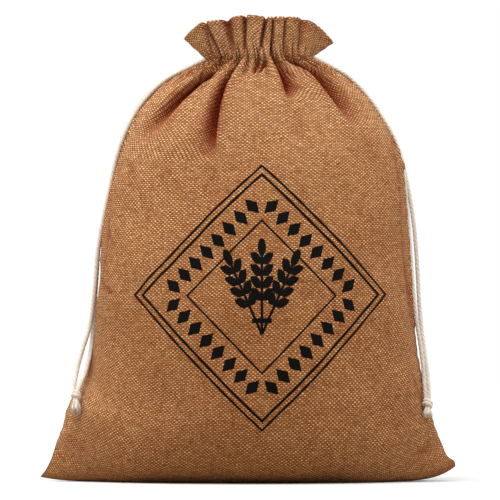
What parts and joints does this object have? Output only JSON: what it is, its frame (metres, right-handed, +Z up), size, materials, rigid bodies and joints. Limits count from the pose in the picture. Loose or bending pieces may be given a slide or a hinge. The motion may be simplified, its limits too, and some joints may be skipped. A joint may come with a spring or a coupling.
{
  "type": "burlap drawstring sack",
  "caption": "Filled burlap sack standing upright, drawn shut at the neck by cotton cords that hang down both sides to knots.",
  "frame": {"origin": "middle of the base, on the surface that the sack stands on", "axes": "+Z up to the ruffle, the shown front faces -Y, +X to the viewer's right"},
  "size_m": [0.3838, 0.2002, 0.4295],
  "materials": {
    "burlap": "coarse plain weave, matt",
    "cotton_cord": "soft twisted cotton, matt"
  },
  "bodies": {
    "root": {"front_panel": "burlap", "back_panel": "burlap", "cord_left_front": "cotton_cord", "cord_left_back": "cotton_cord", "cord_right_front": "cotton_cord", "cord_right_back": "cotton_cord", "knot_left": "cotton_cord", "knot_right": "cotton_cord"}
  },
  "joints": []
}
